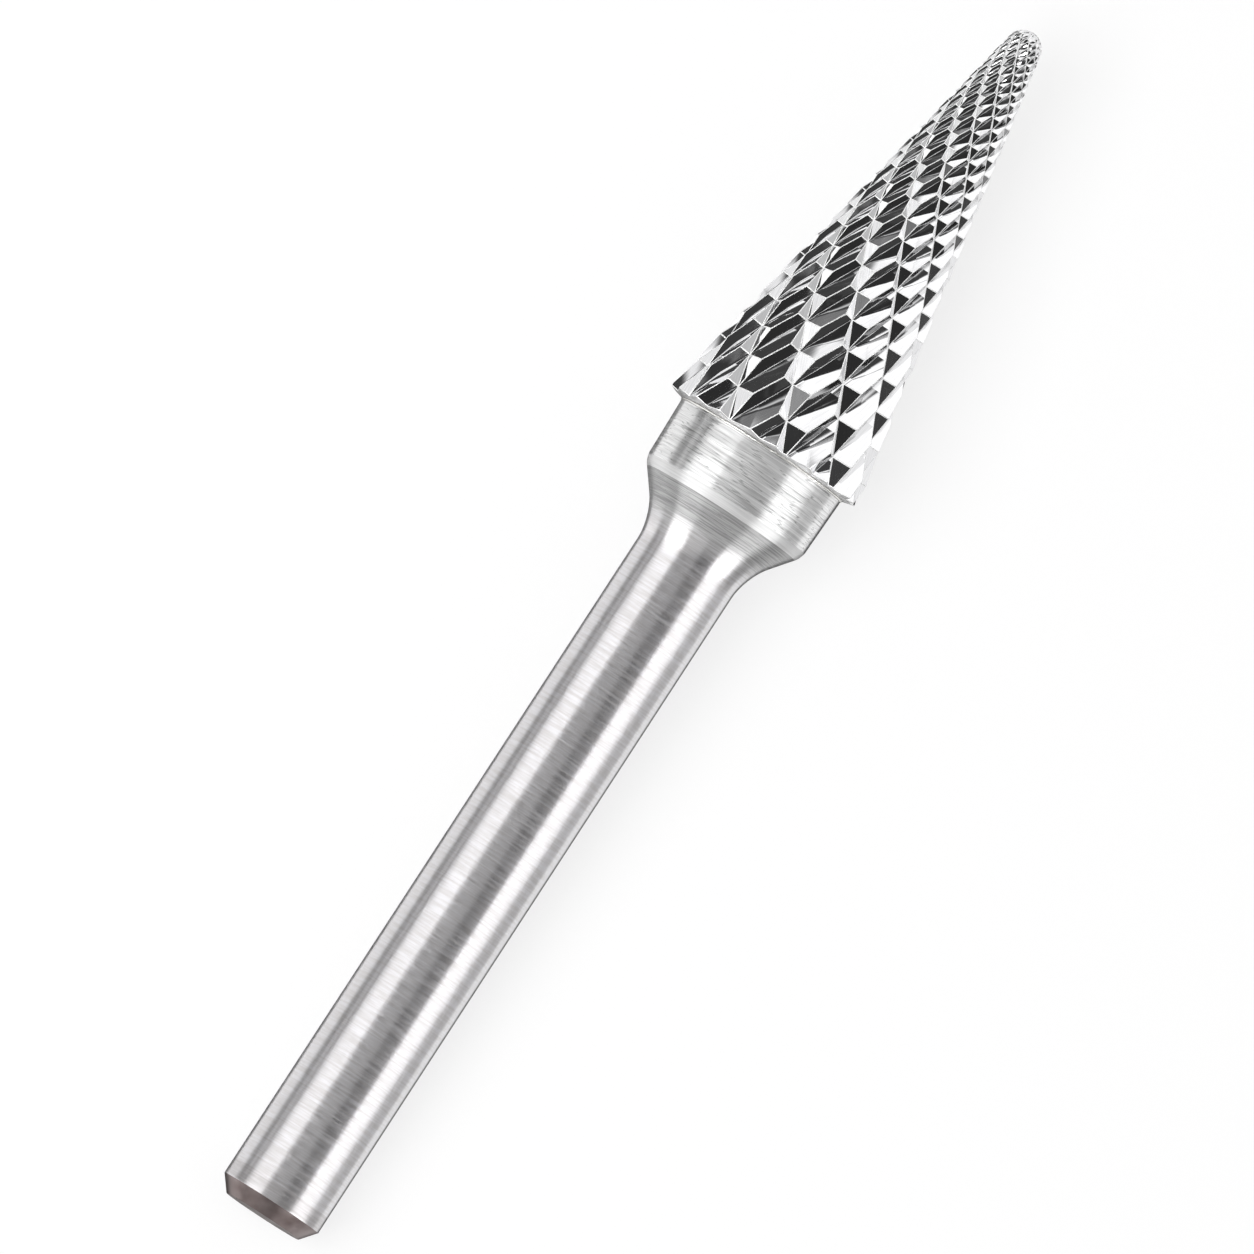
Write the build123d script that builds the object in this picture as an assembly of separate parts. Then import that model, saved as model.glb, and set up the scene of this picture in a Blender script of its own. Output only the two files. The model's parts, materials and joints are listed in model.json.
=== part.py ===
from build123d import *

import os
from collections import Counter
from math import asin, atan, atan2, ceil, cos, degrees, exp, floor, hypot, log, pi, radians, sin, tan

# A cone-shaped carbide burr for a die grinder, in millimetres.
# A double-cut carbide head is silver-soldered on the collar of a turned steel shank.
# The tool is worked out upright, its axis on Z, with the flat base of the head at Z = 0,
# the tip above it and the shank below. At the end it is laid down as it rests on a bench.

# Head
head_diameter = 12.7
head_length = 28.3
tip_radius = 1.1
base_bevel_angle = 15.0

# Teeth. One wheel grinds both cuts, and it is worked less deep as the cone narrows.
flute_count = 19
flute_angle = 27.0
breaker_count = 10
breaker_angle = 25.0
tooth_depth = 0.51
rake_share = 0.32
crossing_turn = 3.1
crossing_climb = 0.27
tip_land_radius = 0.3

# Soldered seam between the head and the shank, with its edges rounded by a share of its
# thickness
seam_thickness = 0.12
seam_lip = 0.06
seam_edge_share = 0.45

# Shank with its flared neck and collar
shank_diameter = 6.35
shank_length = 45.4
end_chamfer_length = 0.93
end_chamfer_depth = 0.74
neck_angle = 37.8
neck_radius = 4.0
collar_diameter = 10.54
collar_top_diameter = 10.76
collar_height = 3.84
collar_corner_radius = 1.2

# How finely the roll at which the tool lies still is searched for, in degrees, and the
# decimals of a millimetre to which two tooth corners must agree to be one
roll_step = 0.1
corner_decimals = 6

# Heights and radii that follow from these
rim_radius = head_diameter / 2
seam_radius = collar_top_diameter / 2 + seam_lip
rim_height = (rim_radius - seam_radius) * tan(radians(base_bevel_angle))
dome_centre = head_length - tip_radius
rim_to_dome = dome_centre - rim_height
cone_angle = atan2(rim_radius, rim_to_dome) - asin(tip_radius / hypot(rim_radius, rim_to_dome))
dome_edge_radius = tip_radius * cos(cone_angle)
collar_top = -seam_thickness
collar_bottom = collar_top - collar_height
neck_drop = (collar_diameter - shank_diameter) / 2 / tan(radians(neck_angle))
neck_bottom = collar_bottom - neck_drop
shank_end = neck_bottom - shank_length

# The teeth are laid out on the unrolled surface. A place on it is a turn about the axis and
# a climb, which is the way up the slope measured in local radii, so that a cut at a steady
# angle is a straight line and its width is a steady share of the local radius.
flute_slope = tan(radians(flute_angle))
breaker_slope = tan(radians(breaker_angle))
cut_width = 2 * pi * cos(radians(flute_angle)) / flute_count
rake_width = rake_share * cut_width
land_width = cut_width - rake_width
depth_ratio = tooth_depth / rim_radius
dome_climb = log(rim_radius / dome_edge_radius) / sin(cone_angle)
dome_stretch = log(tan(pi / 4 + cone_angle / 2))
top_latitude = pi / 2 - asin(tip_land_radius / tip_radius)
top_climb = dome_climb + log(tan(pi / 4 + top_latitude / 2)) - dome_stretch


def meridian(climb):
    """Radius, height and slope of the blank at a climb: the cone first, then the round tip."""
    if climb < dome_climb:
        radius = rim_radius * exp(-climb * sin(cone_angle))
        return radius, rim_height + (rim_radius - radius) / tan(cone_angle), cone_angle
    latitude = 2 * atan(exp(dome_stretch + climb - dome_climb)) - pi / 2
    return tip_radius * cos(latitude), dome_centre + tip_radius * sin(latitude), latitude


def point_on_head(turn, climb, depth=0.0):
    """A point on the blank, or below it by a share of the local tooth depth."""
    radius, height, slope = meridian(climb)
    sink = depth * depth_ratio * radius
    radius -= sink * cos(slope)
    return Vector(radius * cos(turn), radius * sin(turn), height - sink * sin(slope))


def crossing(breaker, flute):
    """Turn and climb at which the floor of a chip breaker crosses the floor of a flute."""
    spread = 2 * pi * breaker / breaker_count - 2 * pi * flute / flute_count
    rise = spread / (breaker_slope + flute_slope)
    turn = radians(crossing_turn) + 2 * pi * flute / flute_count + flute_slope * rise
    return turn, crossing_climb + rise


def valley(breaker, flute):
    """The low point where two cuts cross."""
    return point_on_head(*crossing(breaker, flute), depth=1.0)


def crest(breaker, flute, reach):
    """The high corner of a tooth, a reach to the side of both cuts that cross here."""
    turn, climb = crossing(breaker, flute)
    flute_way, breaker_way = radians(flute_angle), radians(breaker_angle)
    across = reach / sin(flute_way + breaker_way)
    turn += across * (sin(flute_way) + sin(breaker_way))
    climb += across * (cos(flute_way) - cos(breaker_way))
    return point_on_head(turn, climb)


def flute_floor(breaker, flute):
    """The flute's floor midway between this chip breaker and the next."""
    (turn_a, climb_a), (turn_b, climb_b) = crossing(breaker, flute), crossing(breaker + 1, flute)
    return point_on_head((turn_a + turn_b) / 2, (climb_a + climb_b) / 2, depth=1.0)


def tooth_facets(breaker, flute):
    """The facets of one tooth, between two chip breakers and two flutes."""
    upper_left, lower_left = valley(breaker, flute), valley(breaker, flute + 1)
    upper_right, lower_right = valley(breaker + 1, flute), valley(breaker + 1, flute + 1)
    heel = crest(breaker, flute, land_width)
    point = crest(breaker + 1, flute + 1, -rake_width)
    above, below = flute_floor(breaker, flute), flute_floor(breaker, flute + 1)
    breaker_land = [(upper_left, lower_left, heel)]
    flute_land = [(upper_left, heel, above), (heel, point, above), (point, upper_right, above)]
    flute_rake = [(lower_left, below, heel), (heel, below, point), (below, lower_right, point)]
    breaker_rake = [(upper_right, point, lower_right)]
    return breaker_land + flute_land + flute_rake + breaker_rake


def open_edges(facets):
    """Edges that only one facet uses, each as its two ends in that facet's order."""
    sides = {}
    uses = Counter()
    for corners in facets:
        for start, end in zip(corners, corners[1:] + corners[:1]):
            ends = [tuple(round(value, corner_decimals) for value in spot) for spot in (start, end)]
            sides[tuple(ends)] = (start, end)
            uses[frozenset(ends)] += 1
    return [side for ends, side in sides.items() if uses[frozenset(ends)] == 1]


def toothed_cone():
    """All the teeth as one closed solid, run past the rim and closed at both ends."""
    fall = breaker_slope + flute_slope
    lowest = -crossing_climb - 2 * cut_width
    facets = []
    for breaker in range(breaker_count):
        around = breaker / breaker_count
        first = floor((around - (top_climb - crossing_climb) * fall / (2 * pi)) * flute_count)
        last = ceil((around - lowest * fall / (2 * pi)) * flute_count)
        for flute in range(first, last):
            facets += tooth_facets(breaker, flute)
    root, tip = Vector(0, 0, -rim_radius), Vector(0, 0, head_length)
    for start, end in open_edges(facets):
        facets.append((end, start, tip if start.Z > head_length / 2 else root))
    return Solid(Shell([Face(Wire.make_polygon(corners, close=True)) for corners in facets]))


def make_carbide_head():
    """The toothed cone, cut off by the flat base and its bevel."""
    reach = rim_radius + tooth_depth
    reach_height = (reach - seam_radius) * tan(radians(base_bevel_angle))
    outline = [(0, 0), (seam_radius, 0), (reach, reach_height)]
    outline += [(reach, head_length + tip_radius), (0, head_length + tip_radius)]
    with BuildPart() as above_base:
        with BuildSketch(Plane.XZ):
            Polygon(*outline, align=None)
        revolve(axis=Axis.Z)
    return toothed_cone() & above_base.part.solid()


def make_braze_joint():
    """The layer of silver solder, whose edge shows as a bright line above the collar."""
    disc = Cylinder(seam_radius, seam_thickness, align=(Align.CENTER, Align.CENTER, Align.MAX))
    rims = disc.edges().filter_by(GeomType.CIRCLE)
    return fillet(rims, seam_thickness * seam_edge_share).solid()


def make_shank():
    """The steel shank, turned in one piece with its neck and collar."""
    shank_radius = shank_diameter / 2
    outline = [
        (0, shank_end),
        (shank_radius - end_chamfer_depth, shank_end),
        (shank_radius, shank_end + end_chamfer_length),
        (shank_radius, neck_bottom),
        (collar_diameter / 2, collar_bottom),
        (collar_top_diameter / 2, collar_top),
        (0, collar_top),
    ]
    with BuildPart() as shank:
        with BuildSketch(Plane.XZ) as section:
            Polygon(*outline, align=None)
            neck_corner = Vector(shank_radius, neck_bottom)
            fillet(section.vertices().sort_by_distance(neck_corner)[0], neck_radius)
            collar_corner = Vector(collar_diameter / 2, collar_bottom)
            fillet(section.vertices().sort_by_distance(collar_corner)[0], collar_corner_radius)
        revolve(axis=Axis.Z)
    return shank.part.solid()


def rest_on_bench(head):
    """The tool's place when it lies on the edge of its shank end and on two tooth corners.

    With a given turn underneath, it leans as much as the corner that reaches lowest makes
    it. It comes to rest at a dip of that lean, here the one with turn 0 most nearly on top.
    """
    heel_height = shank_end + end_chamfer_length
    band_top = rim_height + cut_width * rim_radius
    corners = [(spot.X, spot.Y, spot.Z) for spot in head.vertices() if spot.Z < band_top]

    def lean(turn):
        return max(
            (x * cos(turn) + y * sin(turn) - shank_diameter / 2) / (z - heel_height)
            for x, y, z in corners
        )

    turns = [radians(step * roll_step) for step in range(round(360 / roll_step))]
    leans = [lean(turn) for turn in turns]
    neighbours = zip(leans[-1:] + leans[:-1], leans[1:] + leans[:1])
    dips = [
        turn
        for turn, here, (before, after) in zip(turns, leans, neighbours)
        if before > here <= after
    ]
    underside = min(dips, key=lambda turn: abs(turn - pi))
    return Rot(Y=90 - degrees(atan(lean(underside)))) * Rot(Z=-degrees(underside))


def main():
    head = make_carbide_head()
    pieces = {
        "carbide_head": head,
        "braze_joint": make_braze_joint(),
        "shank": make_shank(),
    }
    laid = {name: rest_on_bench(head) * piece for name, piece in pieces.items()}
    box = Compound(list(laid.values())).bounding_box()
    on_floor = Pos(-box.center().X, -box.center().Y, -box.min.Z)
    os.makedirs("parts", exist_ok=True)
    for name, piece in laid.items():
        placed = on_floor * piece
        placed.label = name
        export_step(placed, f"parts/{name}.step")


main()
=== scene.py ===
import json
from math import atan2, ceil, cos, degrees, hypot, pi, radians, sin, sqrt, tan

import bmesh
import bpy
from mathutils import Matrix, Vector


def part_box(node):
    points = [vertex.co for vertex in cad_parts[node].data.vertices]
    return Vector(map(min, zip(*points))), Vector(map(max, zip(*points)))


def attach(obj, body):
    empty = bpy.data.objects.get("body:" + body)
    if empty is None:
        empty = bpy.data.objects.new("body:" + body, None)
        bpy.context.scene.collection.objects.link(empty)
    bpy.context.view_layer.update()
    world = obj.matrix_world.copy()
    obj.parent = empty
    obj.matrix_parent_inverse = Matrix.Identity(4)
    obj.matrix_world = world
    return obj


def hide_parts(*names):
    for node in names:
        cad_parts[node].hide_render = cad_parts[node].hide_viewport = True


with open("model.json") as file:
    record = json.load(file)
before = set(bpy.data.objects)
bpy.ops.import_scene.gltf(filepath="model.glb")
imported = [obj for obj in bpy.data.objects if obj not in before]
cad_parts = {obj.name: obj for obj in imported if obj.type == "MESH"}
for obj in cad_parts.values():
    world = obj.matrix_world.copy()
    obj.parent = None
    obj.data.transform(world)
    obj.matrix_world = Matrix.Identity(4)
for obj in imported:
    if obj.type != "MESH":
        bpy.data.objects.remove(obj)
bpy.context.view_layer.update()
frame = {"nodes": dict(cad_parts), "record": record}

# A cone-shaped carbide burr that lies on a bench, seen from above.
# Named lengths are in millimetres and are turned into metres where a mesh is made.
# The tool's own frame has its axis on Z, the head's flat base at Z = 0 and the tip above it.
# Turn 0 is the side that faces the camera, and turns grow towards the right of the picture.

MM = 0.001

# Shank
shank_diameter = 6.35
shank_length = 45.4
end_chamfer_length = 0.93
end_chamfer_depth = 0.74
neck_angle = radians(37.8)
neck_radius = 4.0
collar_diameter = 10.54
collar_top_diameter = 10.76
collar_height = 3.84
collar_corner_radius = 1.2
seam_thickness = 0.12
broken_edge = 0.05
round_steps = 240
arc_steps = 10

# Where the shank's finish changes. The first three are below the head's base, then come one
# above the shank's end, one below the top of the chamfer and one above it. The neck's fade is
# along the outline, as height plus radius.
band_top = 3.72
band_bottom = 4.32
ground_stop = 7.56
sawn_stop = 0.01
chamfer_stop = 0.02
end_margin = 1.0
neck_fade = (-4.2, -1.6)

# Marks on the steel: how many to a millimetre along the outline and round it, which of the
# noise's values they lie between, and what they do to the colour and the shine
fine_marks = (8.0, 0.5, 1.0)
broad_marks = (1.6, 0.2, 1.0)
broad_share = 0.15
marks_spread = (0.36, 0.64)
ground_colours = ((0.69, 0.67, 0.67), (0.81, 0.80, 0.82))
hair_lines = (11.0, 0.4, 1.0)
hair_spread = (0.45, 0.65)
hair_shine = 0.86
scratch_swirl = (4.5, 0.5, 1.0)
scratch_width = (0.006, 0.024)
scratch_colour = (0.1, 0.1, 0.1)

# The painted highlight on the collar's upper side, a patch that is less metallic and so lighter:
# where round it the middle is, and how far from there it starts and stops to turn bright, all
# counted as lengths round the shank
highlight_middle = 0.28
highlight_reach = (1.1, 1.7)

# Head. A tooth's margin is as wide as edge_width at the rim and narrower towards the tip, and
# never more than edge_share_of_face times the size of its face
head_radius = 6.35
cone_slope = 0.19
flute_angle = radians(27.0)
breaker_angle = radians(25.0)
one_face_limit = radians(13.0)
coplanar_limit = radians(0.3)
edge_width = 0.044
edge_share_of_face = 0.1
tip_keep = 0.5
base_facing = -0.8

# The round bottoms of the flutes: how far each reaches over the land, near its low end and near
# its high end, how far over the rake face, and how wide the bright line in it is. A face with
# no flute bottom counts as no_bottom away from one.
bottom_angle = radians(31.7)
land_hollow = (0.25, 1.2)
land_ends = (0.15, 0.75)
rake_hollow = 0.14
bottom_line = (0.018, 0.045)
bottom_metallic = 0.4
no_bottom = 9.0

# Marks on the carbide: how many to a millimetre along the wheel's path and across it. Each cut's
# marks start a little further on than the last one's.
wheel_lines = (0.5, 11.0, 1.0)
wheel_waves = (0.5, 0.9, 1.0)
wheel_roughness = (0.05, 0.08)
carbide_colours = ((0.74, 0.74, 0.75), (0.84, 0.84, 0.85))
next_cut_shift = (7.3, 3.7)
# The teeth's edges: a near-white, half-matte colour that is a painted highlight, and the noise that
# varies it
edge_highlight_noise = (2.0, 2.0, 1.0)
edge_highlight_colours = ((0.86, 0.86, 0.86), (0.98, 0.98, 0.98))
edge_roughness = (0.4, 0.5)
edge_metallic = 0.4

# The values that a noise mostly lies between, and how far a mottle moves the roughness each way
noise_spread = (0.3, 0.7)
mottle_change = 0.04

# In metres: how near two points are that count as one, on the turned shank and on the head,
# and how near the axis a point is that counts as on it
shank_merge = 1e-7
head_merge = 1e-6
on_axis = 1e-6

# Floor, surroundings and softbox, in metres and watts
white = (1, 1, 1, 1)
floor_size = 4.0
floor_tone = 0.88
floor_roughness = 0.9
floor_white_share = 0.75
world_light = 0.55
softbox_place = (-0.25, 0.45, 0.8)
softbox_size = 0.5
softbox_watts = 7.0

# The photograph's frame, 1254 pixels square, with the place of a point on the tool's axis
picture_size = 1254
picture_scale = 17.6
axis_point_right = 649.80
axis_point_down = 621.52
axis_point_height = -11.70
picture_lean = radians(56.93)
side_roll = radians(12.2)
end_view = radians(3.0)
lens = 1400.0
sensor = 36.0
camera_reach = 20.0


def grey(tone):
    return (tone, tone, tone)


def tool_place():
    """The matrix from the tool's own frame to the model's, both in metres."""
    axis = -Vector(frame["record"]["mounts"][0]["axis"]).normalized()
    low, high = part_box("braze_joint")
    base = (low + high) / 2 + axis * seam_thickness / 2 * MM
    side = Vector((0, 1, 0))
    above = axis.cross(side)
    if above.z < 0:
        above.negate()
    towards = above * cos(side_roll) + side * sin(side_roll)
    across = axis.cross(towards)
    columns = Matrix((towards, across, axis)).transposed()
    return Matrix.Translation(base) @ columns.to_4x4()


tool = tool_place()


def new_object(shape, name, materials):
    """An object at the origin, with the mesh of a bmesh in metres."""
    mesh = bpy.data.meshes.new(name)
    shape.to_mesh(mesh)
    shape.free()
    for material in materials:
        mesh.materials.append(material)
    made = bpy.data.objects.new(name, mesh)
    bpy.context.scene.collection.objects.link(made)
    return made


def finish_piece(shape, name, node, materials):
    """Puts a bmesh from the tool's own frame in its place and tells the frame about it."""
    shape.transform(tool)
    bmesh.ops.recalc_face_normals(shape, faces=shape.faces)
    piece = new_object(shape, name, materials)
    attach(piece, "root")
    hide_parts(node)


class Nodes:
    """A short way to add and link the nodes of a material or of the world."""

    def __init__(self, owner, shader="Principled BSDF"):
        owner.use_nodes = True
        self.owner = owner
        self.tree = owner.node_tree
        self.shader = self.tree.nodes[shader]

    def add(self, kind, inputs=None, **settings):
        node = self.tree.nodes.new(kind)
        for key, value in settings.items():
            setattr(node, key, value)
        for key, value in (inputs or {}).items():
            self.feed(node, key, value)
        return node

    def feed(self, node, key, value):
        if isinstance(value, bpy.types.NodeSocket):
            self.tree.links.new(value, node.inputs[key])
        else:
            node.inputs[key].default_value = value

    def finish(self, inputs):
        """Feeds the shader's inputs and gives back the material or the world."""
        for key, value in inputs.items():
            self.feed(self.shader, key, value)
        return self.owner

    def mix_shaders(self, share, one, other):
        """Shows one shader where the share is 0 and the other where it is 1."""
        mix = self.add("ShaderNodeMixShader", {0: share, 1: one.outputs[0], 2: other.outputs[0]})
        self.feed(self.tree.nodes["Material Output"], "Surface", mix.outputs[0])
        return self.owner

    def white_light(self, strength):
        return self.add("ShaderNodeEmission", {"Color": white, "Strength": strength})

    def uv(self, name):
        return self.add("ShaderNodeUVMap", uv_map=name).outputs["UV"]

    def split(self, place):
        """The first two coordinates of a place."""
        return self.add("ShaderNodeSeparateXYZ", {0: place}).outputs[:2]

    def noise(self, place, scale, detail=2.0):
        spread = self.add("ShaderNodeVectorMath", {0: place, 1: scale}, operation="MULTIPLY")
        inputs = {"Vector": spread.outputs[0], "Scale": 1.0, "Detail": detail}
        return self.add("ShaderNodeTexNoise", inputs).outputs["Fac"]

    def ranged(self, value, low, high, to_low, to_high, kind="LINEAR"):
        """Turns low to high into to_low to to_high, and stops at both."""
        inputs = {
            "Value": value, "From Min": low, "From Max": high, "To Min": to_low, "To Max": to_high,
        }
        ranged = self.add("ShaderNodeMapRange", inputs, interpolation_type=kind)
        return ranged.outputs["Result"]

    def maths(self, operation, *values):
        node = self.add("ShaderNodeMath", dict(enumerate(values)), operation=operation)
        return node.outputs[0]

    def distance(self, value, middle):
        return self.maths("ABSOLUTE", self.maths("SUBTRACT", value, middle))

    def mixed(self, share, one, other):
        """A mix of two numbers. The Mix node's sockets share names, so their order is used."""
        mix = self.add("ShaderNodeMix", {0: share, 2: one, 3: other}, data_type="FLOAT")
        return mix.outputs[0]

    def tinted(self, share, one, other):
        """A mix of two colours, each of them a socket or three numbers."""
        inputs = {0: share}
        for key, colour in ((6, one), (7, other)):
            inputs[key] = colour if isinstance(colour, bpy.types.NodeSocket) else (*colour, 1)
        return self.add("ShaderNodeMix", inputs, data_type="RGBA").outputs[2]

    def bump(self, height, depth, normal=None):
        """A bump so many millimetres deep, on top of another bump where one is given."""
        inputs = {"Strength": 1.0, "Distance": depth * MM, "Height": height}
        if normal is not None:
            inputs["Normal"] = normal
        return self.add("ShaderNodeBump", inputs).outputs["Normal"]


def material_nodes(name):
    return Nodes(bpy.data.materials.new(name))


def steel_finish(
    name, dark, light, roughness, depth, metallic=1.0, scratches=0.0, highlight_dulling=0.0, fade=None,
):
    """Steel ground or turned round and round, with marks that smear what it mirrors.

    The marks go from dark to light and from one roughness to the other, as deep as depth says.
    Thin hair lines between them mirror a little less. Scratches is how dark the scratches are,
    the dulling is how much of its shine the upper side gives up for a painted highlight, and fade
    is where along the outline the finish of the ground shank turns into this one.
    """
    nodes = material_nodes(name)
    place = nodes.uv("round")
    along, around = nodes.split(place)
    fine = nodes.noise(place, fine_marks, 1.0)
    marks = nodes.mixed(broad_share, fine, nodes.noise(place, broad_marks))
    marks = nodes.ranged(marks, *marks_spread, 0.0, 1.0)
    colour = nodes.tinted(marks, dark, light)
    if scratches:
        off_line = nodes.distance(nodes.noise(place, scratch_swirl, 1.0), 0.5)
        line = nodes.ranged(off_line, *scratch_width, scratches, 0.0)
        colour = nodes.tinted(line, colour, scratch_colour)
    # A less metallic patch on the upper side, which renders lighter: a painted highlight
    if highlight_dulling:
        from_middle = nodes.distance(around, highlight_middle)
        metallic = nodes.ranged(from_middle, *highlight_reach, metallic - highlight_dulling, metallic)
    if fade:
        share = nodes.ranged(along, *fade, 0.0, 1.0)
        metallic = nodes.ranged(share, 0.0, 1.0, 1.0, metallic)
        colour = nodes.tinted(share, nodes.tinted(marks, *ground_colours), colour)
    hairs = nodes.noise(place, hair_lines, 0.0)
    shine = nodes.ranged(hairs, *hair_spread, 1.0, hair_shine)
    tangent = nodes.add("ShaderNodeTangent", direction_type="UV_MAP", uv_map="round")
    return nodes.finish({
        "Base Color": colour,
        "Metallic": nodes.maths("MULTIPLY", shine, metallic),
        "Anisotropic": 1.0,
        "Roughness": nodes.ranged(marks, 0.0, 1.0, *roughness),
        "Tangent": tangent.outputs["Tangent"],
        "Normal": nodes.bump(fine, depth),
    })


def carbide_finish(name, wave_depth, line_depth, hollow=False):
    """Bright carbide with the wheel's fine lines along each cut, and hollow flute bottoms."""
    nodes = material_nodes(name)
    place = nodes.uv("grind")
    lines = nodes.noise(place, wheel_lines)
    waves = nodes.noise(place, wheel_waves, 1.0)
    normal, metallic = None, 1.0
    if hollow:
        away, length = nodes.split(nodes.uv("hollow"))
        normal = nodes.bump(hollow_height(nodes, away, length), 1.0)
        off_line = nodes.maths("ABSOLUTE", away)
        metallic = nodes.ranged(off_line, *bottom_line, bottom_metallic, 1.0)
    normal = nodes.bump(waves, wave_depth, normal)
    return nodes.finish({
        "Base Color": nodes.tinted(nodes.ranged(lines, *noise_spread, 0.0, 1.0), *carbide_colours),
        "Metallic": metallic,
        "Roughness": nodes.ranged(waves, *noise_spread, *wheel_roughness),
        "Normal": nodes.bump(lines, line_depth, normal),
    })


def hollow_height(nodes, away, length):
    """How much a round flute bottom stands above the two flats that meet there, in millimetres."""
    land_reach = nodes.ranged(length, *land_ends, *land_hollow)
    heights = []
    for sign, reach in ((1.0, land_reach), (-1.0, rake_hollow)):
        share = nodes.maths("DIVIDE", nodes.maths("MULTIPLY", away, sign), reach)
        left = nodes.ranged(share, 0.0, 1.0, 1.0, 0.0)
        at_bottom = nodes.maths("MULTIPLY", reach, tan(bottom_angle) / 2)
        heights.append(nodes.maths("MULTIPLY", nodes.maths("POWER", left, 2.0), at_bottom))
    return nodes.maths("ADD", *heights)


def painted_edge_highlight():
    """The teeth's edges: a near-white, half-matte colour that is a painted highlight, varied by a
    noise.
    """
    nodes = material_nodes("tooth_edge")
    highlight_noise = nodes.noise(nodes.uv("grind"), edge_highlight_noise)
    share = nodes.ranged(highlight_noise, *noise_spread, 0.0, 1.0)
    return nodes.finish({
        "Base Color": nodes.tinted(share, *edge_highlight_colours),
        "Metallic": edge_metallic,
        "Roughness": nodes.ranged(highlight_noise, *noise_spread, *edge_roughness),
    })


def plain_metal(name, dark, light, roughness, grain, metallic=1.0):
    """Metal with a soft mottle on Object coordinates, for places with no ground marks."""
    nodes = material_nodes(name)
    place = nodes.add("ShaderNodeTexCoord").outputs["Object"]
    mottle = nodes.noise(place, (grain, grain, grain))
    low, high = roughness - mottle_change, roughness + mottle_change
    return nodes.finish({
        "Base Color": nodes.tinted(nodes.ranged(mottle, *noise_spread, 0.0, 1.0), dark, light),
        "Metallic": metallic,
        "Roughness": nodes.ranged(mottle, *noise_spread, low, high),
    })


def shank_profile():
    """Radius, height and rounding of the shank's corners, from its end up to the seam."""
    collar_top = -seam_thickness
    collar_bottom = collar_top - collar_height
    neck_drop = (collar_diameter - shank_diameter) / 2 / tan(neck_angle)
    neck_bottom = collar_bottom - neck_drop
    end = neck_bottom - shank_length
    radius = shank_diameter / 2
    return [
        (radius - end_chamfer_depth, end, broken_edge),
        (radius, end + end_chamfer_length, broken_edge),
        (radius, neck_bottom, neck_radius),
        (collar_diameter / 2, collar_bottom, collar_corner_radius),
        (collar_top_diameter / 2, collar_top, broken_edge),
    ]


def rounded_profile(shape, corners, start, finish):
    """A chain of edges through the corners, each of them rounded, in the X and Z plane."""
    places = [start] + [(across, height) for across, height, _ in corners] + [finish]
    verts = [shape.verts.new((across * MM, 0, height * MM)) for across, height in places]
    for one, other in zip(verts, verts[1:]):
        shape.edges.new((one, other))
    for vert, (_, _, rounding) in zip(verts[1:-1], corners):
        ways = [(edge.other_vert(vert).co - vert.co).normalized() for edge in vert.link_edges]
        turn = pi - ways[0].angle(ways[1])
        bmesh.ops.bevel(
            shape, geom=[vert], offset=rounding * tan(turn / 2) * MM, offset_type="OFFSET",
            segments=arc_steps, profile=0.5, affect="VERTICES", clamp_overlap=False, material=-1,
        )


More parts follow.
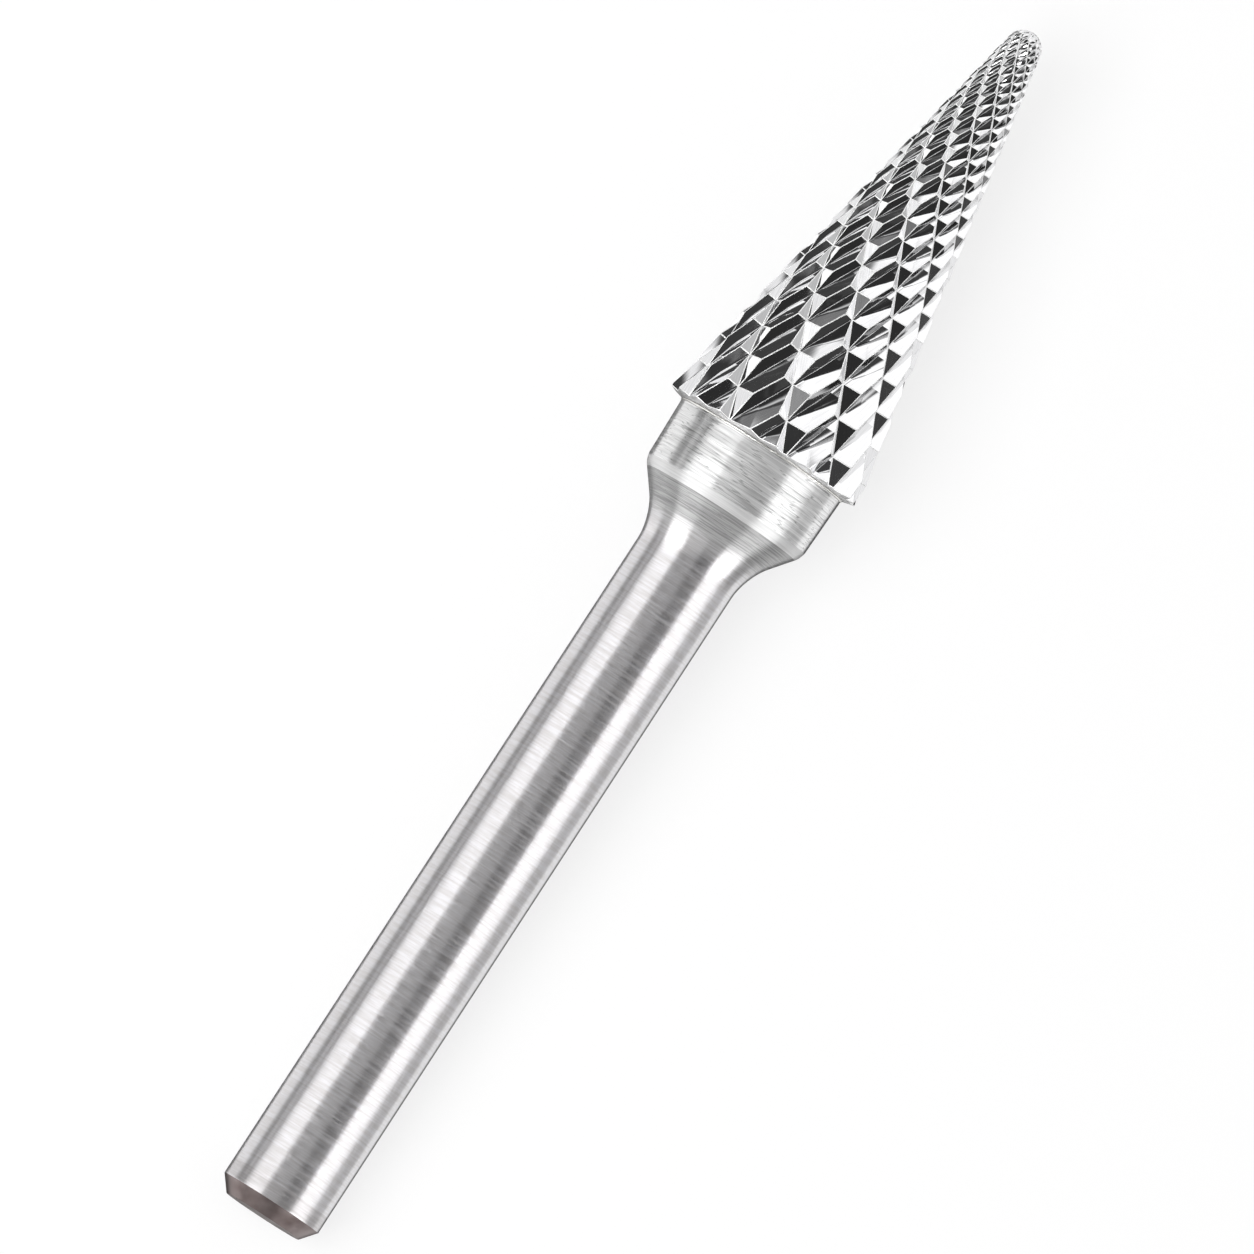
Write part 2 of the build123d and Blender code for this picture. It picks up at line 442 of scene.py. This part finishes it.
def make_shank():
    """The shank, turned from one outline, with its marks laid out round it."""
    shape = bmesh.new()
    corners = shank_profile()
    end, chamfer_top, collar_top = corners[0][1], corners[1][1], corners[-1][1]
    rounded_profile(shape, corners, (0.0, end), (0.0, collar_top))
    bmesh.ops.spin(
        shape, geom=shape.verts[:] + shape.edges[:], cent=(0, 0, 0), axis=(0, 0, 1),
        dvec=(0, 0, 0), angle=2 * pi, steps=round_steps, use_merge=True, use_duplicate=False,
    )
    bmesh.ops.remove_doubles(shape, verts=shape.verts, dist=shank_merge)
    stops = [
        end + sawn_stop, chamfer_top - chamfer_stop, chamfer_top + end_margin,
        -ground_stop, -band_bottom, -band_top,
    ]
    for height in stops[1:]:
        bmesh.ops.bisect_plane(
            shape, geom=shape.verts[:] + shape.edges[:] + shape.faces[:],
            plane_co=(0, 0, height * MM), plane_no=(0, 0, 1), dist=shank_merge,
        )
    layer = shape.loops.layers.uv.new("round")
    for face in shape.faces:
        face.smooth = True
        middle = face.calc_center_median()
        face.material_index = sum(middle.z / MM > height for height in stops)
        turn = atan2(middle.y, middle.x)
        for loop in face.loops:
            spot = loop.vert.co
            radius = hypot(spot.x, spot.y)
            own = atan2(spot.y, spot.x) if radius > on_axis else turn
            own += 2 * pi * round((turn - own) / (2 * pi))
            loop[layer].uv = (spot.z / MM + radius / MM, own * shank_diameter / 2)
    # One finish for each stretch between the stops, from the end up
    materials = [
        plain_metal(
            "sawn_end", (0.30, 0.27, 0.265), (0.42, 0.39, 0.385), roughness=0.5, grain=1200.0,
        ),
        plain_metal(
            "turned_chamfer", (0.16, 0.125, 0.12), (0.25, 0.21, 0.205), roughness=0.34, grain=900.0,
        ),
        steel_finish(
            "dull_margin", (0.60, 0.58, 0.58), (0.74, 0.72, 0.73),
            roughness=(0.36, 0.42), depth=0.006,
        ),
        steel_finish("ground_shank", *ground_colours, roughness=(0.33, 0.36), depth=0.006),
        # The neck: turned steel with dark scratches, in a dark grey that is painted shade, faded in
        # from the ground shank's colours
        steel_finish(
            "turned_neck", grey(0.22), grey(0.42), roughness=(0.30, 0.36), depth=0.006,
            metallic=0.35, scratches=0.3, fade=neck_fade,
        ),
        steel_finish(
            "turned_corner", grey(0.60), grey(0.70), roughness=(0.40, 0.46), depth=0.004,
            metallic=0.4,
        ),
        # The collar: turned steel with dark scratches, and a painted highlight on its upper side
        # from a less metallic patch
        steel_finish(
            "turned_collar", grey(0.68), grey(0.96), roughness=(0.28, 0.36), depth=0.008,
            scratches=0.45, highlight_dulling=0.25,
        ),
    ]
    finish_piece(shape, "shank_steel", "shank", materials)


def one_cut(edge, kinds):
    """True where an edge only divides what one pass of the wheel left: a flat or a bottom."""
    if edge.calc_face_angle(pi) < one_face_limit:
        return True
    return edge.calc_face_angle_signed(pi) < 0 and not any(kinds[face] for face in edge.link_faces)


def cut_groups(shape):
    """The faces of each cut of the wheel, gathered across flats and groove bottoms."""
    shape.normal_update()
    kinds = {face: grind_frame(face.calc_center_median(), face.normal)[0] for face in shape.faces}
    waiting = dict.fromkeys(shape.faces)
    groups = []
    while waiting:
        group, found = [], [waiting.popitem()[0]]
        while found:
            face = found.pop()
            group.append(face)
            for edge in face.edges:
                if one_cut(edge, kinds):
                    for other in edge.link_faces:
                        if other in waiting:
                            del waiting[other]
                            found.append(other)
        groups.append(group)
    return groups


def valley_lines(group):
    """The bottoms of the flute in a group of faces: a point on each and its direction."""
    inside = set(group)
    edges = {edge for face in group for edge in face.edges if inside.issuperset(edge.link_faces)}
    return [
        (edge.verts[0].co.copy(), (edge.verts[1].co - edge.verts[0].co).normalized())
        for edge in edges if edge.calc_face_angle_signed(0) < -one_face_limit
    ]


def valley_distance(spot, lines):
    """How far a point of a face lies from the nearest flute bottom, in millimetres."""
    distances = ((spot - point).cross(way).length / MM for point, way in lines)
    return min(distances, default=no_bottom)


def grind_frame(spot, normal):
    """The kind of a cut face, 0 for a flute's and 1 for a breaker's, and the wheel's path over it.

    The path is given as the directions along it and across it, in the tool's own frame.
    """
    out = Vector((spot.x, spot.y, 0)).normalized()
    round_way = Vector((-out.y, out.x, 0))
    up_way = (Vector((0, 0, 1)) - out * cone_slope).normalized()
    flute_way = up_way * cos(flute_angle) + round_way * sin(flute_angle)
    breaker_way = up_way * cos(breaker_angle) - round_way * sin(breaker_angle)
    ways = enumerate((flute_way, breaker_way))
    kind, along = min(ways, key=lambda pair: abs(pair[1].dot(normal)))
    along = (along - normal * along.dot(normal)).normalized()
    return kind, along, normal.cross(along)


def make_head():
    """The toothed head: a copy of its solid with a narrow margin along every edge."""
    shape = bmesh.new()
    shape.from_mesh(frame["nodes"]["carbide_head"].data)
    shape.transform(tool.inverted())
    bmesh.ops.remove_doubles(shape, verts=shape.verts, dist=head_merge)
    bmesh.ops.dissolve_limit(
        shape, angle_limit=coplanar_limit, verts=shape.verts, edges=shape.edges,
    )
    # The first two materials are the two kinds of cut
    materials = [
        carbide_finish("ground_flutes", wave_depth=0.006, line_depth=0.0004, hollow=True),
        carbide_finish("ground_breakers", wave_depth=0.004, line_depth=0.0003),
        painted_edge_highlight(),
        plain_metal(
            "ground_base", grey(0.50), grey(0.56), roughness=0.36, grain=300.0, metallic=0.5,
        ),
    ]
    edge_index, base_index = 2, 3
    layer = shape.loops.layers.uv.new("grind")
    hollow = shape.loops.layers.uv.new("hollow")
    for number, group in enumerate(cut_groups(shape)):
        area = sum(face.calc_area() for face in group)
        middle = sum((face.calc_center_median() for face in group), Vector()) / len(group)
        from_axis = hypot(middle.x, middle.y) / MM
        reach = min(1.0, from_axis / head_radius)
        width = min(edge_width * sqrt(reach) * MM, edge_share_of_face * sqrt(area))
        lines = valley_lines(group)
        heights = [vert.co.z for face in group for vert in face.verts]
        low, high = min(heights), max(heights)
        margin = []
        if from_axis > tip_keep:
            margin = bmesh.ops.inset_region(
                shape, faces=group, thickness=width, depth=0.0,
                use_boundary=True, use_even_offset=True,
            )["faces"]
        for face in group + margin:
            centre = face.calc_center_median()
            kind, along, across = grind_frame(centre, face.normal)
            # Faces on the margin take the painted highlight of the edges
            if face.normal.z < base_facing:
                face.material_index = base_index
            else:
                face.material_index = edge_index if face in margin else kind
            face.smooth = True
            # Distances from a flute's bottom count up on its land and down on its rake face
            side = 1 if centre.cross(face.normal).z < 0 else -1
            for loop in face.loops:
                spot = loop.vert.co / MM
                loop[layer].uv = (
                    spot.dot(along) + number * next_cut_shift[0],
                    spot.dot(across) + number * next_cut_shift[1],
                )
                away = side * valley_distance(loop.vert.co, lines) / sqrt(reach)
                length = (loop.vert.co.z - low) / (high - low) if side > 0 else -1
                loop[hollow].uv = (away, length)
    for edge in shape.edges:
        edge.smooth = edge.calc_face_angle_signed(0) > -one_face_limit
    finish_piece(shape, "head_carbide", "carbide_head", materials)


def dress_seam():
    """The bright line of silver solder keeps its solid and gets its finish."""
    seam = frame["nodes"]["braze_joint"]
    finish = plain_metal(
        "drawn_solder", (0.82, 0.81, 0.79), (0.94, 0.93, 0.90), roughness=0.3, grain=1500.0,
    )
    seam.data.materials.clear()
    seam.data.materials.append(finish)


def shows_background(nodes):
    """1 for the rays that see the white surroundings: from the camera, off metal, through glass."""
    path = nodes.add("ShaderNodeLightPath")
    shown = path.outputs["Is Camera Ray"]
    for ray in ("Is Glossy Ray", "Is Transmission Ray"):
        shown = nodes.maths("MAXIMUM", shown, path.outputs[ray])
    return shown


def make_floor():
    """A plain pale floor that keeps the tool's soft shadow."""
    shape = bmesh.new()
    bmesh.ops.create_grid(shape, x_segments=1, y_segments=1, size=floor_size / 2)
    nodes = material_nodes("floor_paper")
    nodes.finish({
        "Base Color": (*grey(floor_tone), 1),
        "Roughness": floor_roughness,
        "Specular IOR Level": 0.0,
    })
    share = nodes.maths("MULTIPLY", shows_background(nodes), floor_white_share)
    paper = nodes.mix_shaders(share, nodes.shader, nodes.white_light(1.0))
    floor = new_object(shape, "floor", [paper])
    floor.visible_glossy = False


def make_world():
    """White surroundings for the camera and the metal, and a plain soft light for the rest."""
    world = bpy.data.worlds.new("studio")
    bpy.context.scene.world = world
    nodes = Nodes(world, "Background")
    strength = nodes.ranged(shows_background(nodes), 0.0, 1.0, world_light, 1.0)
    nodes.finish({"Color": white, "Strength": strength})


card_distance = 3000.0
card_step = 5.0
card_rows = 12

# Each card: the turns and the lengthwise angles that it covers, in degrees as seen from the
# tool, its brightness, and how softly each of the four borders fades, in the same order
cards = {
    "line_left": ((-106, -86), (9, 80), 0.06, (8, 4), (2, 4)),
    "line_left_low": ((-106, -86), (-64, 3), 0.06, (8, 4), (8, 4)),
    "line_right": ((99, 126), (28, 80), 0.03, (4, 6), (3, 4)),
    "line_right_low": ((98, 127), (-64, 5), 0.02, (4, 6), (8, 3)),
    "slot_corner": ((20, 50), (15, 32), 0.6, (12, 3), (6, 2)),
    "slot_middle": ((-44, 48), (-27, 30), 0.03, (24, 3), (4, 4)),
    "slot_right": ((40, 104), (-27, 11), 0.055, (3, 14), (4, 3)),
    "slot_left": ((-84, -24), (-27, 3.5), 0.05, (8, 8), (4, 2)),
    "shade_left": ((-100, -34), (29, 39), 0.22, (12, 14), (3, 3)),
    "slot_far_left": ((-184, -30), (7, 34), 0.06, (10, 14), (2, 5)),
    "slot_low": ((6, 49), (-62, -23), 0.05, (12, 3), (10, 4)),
    "slot_high": ((12, 49), (50, 84), 0.1, (10, 3), (3, 4)),
    "limb": ((150, 196), (-20, 30), 0.06, (10, 10), (8, 8)),
    "limb_left": ((-192, -144), (-64, 6), 0.08, (10, 5), (8, 2)),
    "neck_shade": ((-78, 78), (-88, -62), 0.22, (26, 26), (1, 8)),
    "end_shade": ((0, 360), (-82, -46), 0.8, (0.1, 0.1), (8, 4)),
    "light_left": ((-86, -45), (1, 8), 1.3, (3, 15), (1.5, 1.5)),
    "slot_left_middle": ((-58, -20), (0, 12), 0.05, (30, 5), (2, 4)),
    "light_left_low": ((-82, -26), (-48, -24), 8.5, (4, 12), (4, 3)),
    "light_far_left": ((-160, -101), (-52, 10), 1.4, (8, 8), (4, 3)),
    "light_right_low": ((49, 104), (-48, -24), 8.5, (3, 9), (4, 3)),
    "shade_top_right": ((62, 122), (36, 56), 0.55, (10, 8), (3, 4)),
    "light_top": ((-60, 140), (10, 45), 1.3, (12, 12), (3, 3)),
    "shade_top": ((-46, 80), (42, 56), 0.62, (10, 10), (3, 4)),
}


def card_finish(name, turns, reach, tone, side_fades, end_fades):
    """A card's even light, which fades out softly at its four borders."""
    nodes = material_nodes(name)
    cover = 1.0
    places = nodes.split(nodes.uv("spread"))
    for place, borders, fades in zip(places, (turns, reach), (side_fades, end_fades)):
        for border, fade in ((borders[0], fades[0]), (borders[1], -fades[1])):
            ramp = nodes.ranged(place, border, border + fade, 0.0, 1.0, "SMOOTHSTEP")
            cover = nodes.maths("MULTIPLY", ramp, cover)
    clear = nodes.add("ShaderNodeBsdfTransparent")
    return nodes.mix_shaders(cover, clear, nodes.white_light(tone))


def make_card(number, name, turns, reach, tone, side_fades, end_fades):
    """A studio card bent round the tool, which only the metal sees."""
    shape = bmesh.new()
    radius = (card_distance + number) * MM
    first, last = (radians(turn) for turn in turns)
    edge = shape.edges.new([
        shape.verts.new((radius * cos(first), radius * sin(first), radius * tan(radians(angle))))
        for angle in reach
    ])
    bmesh.ops.subdivide_edges(shape, edges=[edge], cuts=card_rows)
    bmesh.ops.spin(
        shape, geom=shape.verts[:] + shape.edges[:], cent=(0, 0, 0), axis=(0, 0, 1),
        dvec=(0, 0, 0), angle=last - first, steps=ceil(degrees(last - first) / card_step),
        use_merge=turns[1] - turns[0] == 360, use_duplicate=False,
    )
    layer = shape.loops.layers.uv.new("spread")
    for face in shape.faces:
        middle = face.calc_center_median()
        turn = (degrees(atan2(middle.y, middle.x)) - turns[0]) % 360 + turns[0]
        for loop in face.loops:
            spot = loop.vert.co
            own = degrees(atan2(spot.y, spot.x))
            own += 360 * round((turn - own) / 360)
            loop[layer].uv = (own, degrees(atan2(spot.z, radius)))
    shape.transform(tool @ Matrix.Translation((0, 0, axis_point_height * MM)))
    finish = card_finish(name, turns, reach, tone, side_fades, end_fades)
    card = new_object(shape, name, [finish])
    card.visible_camera = False
    card.visible_diffuse = False
    card.visible_transmission = False
    card.visible_shadow = False


def make_softbox():
    """A square softbox that points at the tool."""
    light = bpy.data.lights.new("key_softbox", "AREA")
    light.size = softbox_size
    light.energy = softbox_watts
    lamp = bpy.data.objects.new("key_softbox", light)
    lamp.location = softbox_place
    lamp.rotation_euler = (-Vector(softbox_place)).to_track_quat("-Z", "Y").to_euler()
    lamp.visible_glossy = False
    bpy.context.scene.collection.objects.link(lamp)


def make_camera():
    """A long lens that looks down on the tool as the photograph does."""
    tool_turn = tool.to_3x3()
    axis = tool_turn @ Vector((sin(end_view), 0, cos(end_view)))
    back = tool_turn @ Vector((cos(end_view), 0, -sin(end_view)))
    side = tool_turn @ Vector((0, 1, 0))
    right = side * sin(picture_lean) + axis * cos(picture_lean)
    up = axis * sin(picture_lean) - side * cos(picture_lean)
    seen = tool @ Vector((0, 0, axis_point_height * MM))
    pixel = MM / picture_scale
    middle = picture_size / 2
    seen += right * (middle - axis_point_right) * pixel - up * (middle - axis_point_down) * pixel
    distance = picture_size * pixel * lens / sensor
    data = bpy.data.cameras.new("camera")
    data.lens = lens
    data.sensor_width = sensor
    data.clip_end = camera_reach
    camera = bpy.data.objects.new("camera", data)
    turned = Matrix((right, up, back)).transposed().to_4x4()
    camera.matrix_world = Matrix.Translation(seen + back * distance) @ turned
    bpy.context.scene.collection.objects.link(camera)
    bpy.context.scene.camera = camera


make_shank()
make_head()
dress_seam()
make_floor()
make_world()
for number, (name, card) in enumerate(cards.items()):
    make_card(number, name, *card)
make_softbox()
make_camera()
bpy.context.scene.view_settings.view_transform = "Standard"
